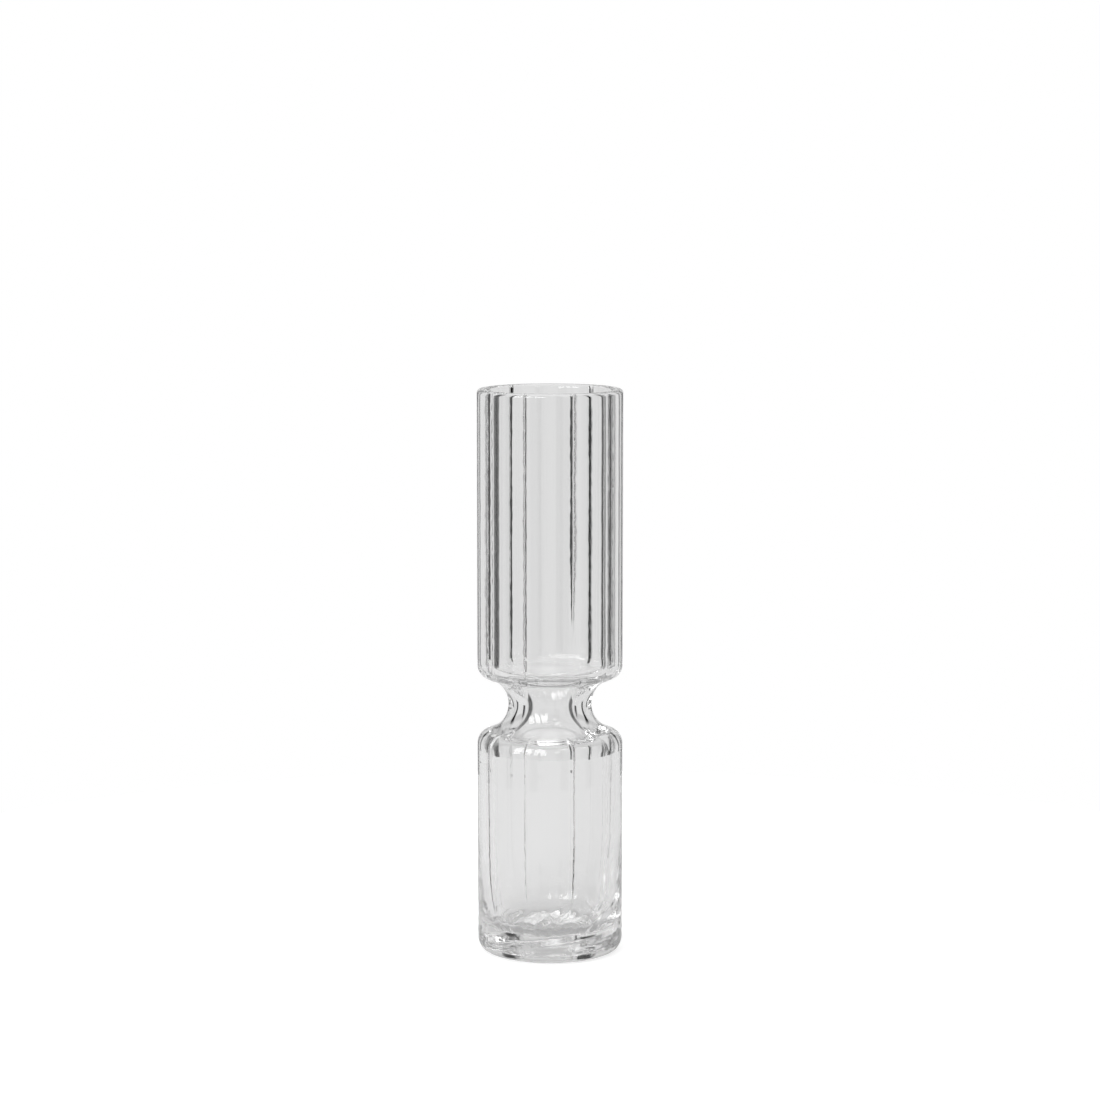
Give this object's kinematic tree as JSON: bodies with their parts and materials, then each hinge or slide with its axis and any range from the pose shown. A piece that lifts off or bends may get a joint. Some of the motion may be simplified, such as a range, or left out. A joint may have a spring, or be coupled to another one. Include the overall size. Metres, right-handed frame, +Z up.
{
  "type": "glass bud vase",
  "caption": "Tall clear glass bud vase with fine creases down its inner wall, an open cup, a pinched waist and a thick-based chamber.",
  "frame": {"origin": "centre of the foot, on the surface that the vase stands on", "axes": "+Z up along the vase's axis; the inside has nine creases, one of them at the back, +Y, and none at the front, -Y"},
  "size_m": [0.054, 0.054, 0.21],
  "materials": {
    "clear_glass": "polished clear soda-lime glass, fire-polished rim, faint mould waviness"
  },
  "bodies": {
    "root": {"vase": "clear_glass"}
  },
  "joints": []
}
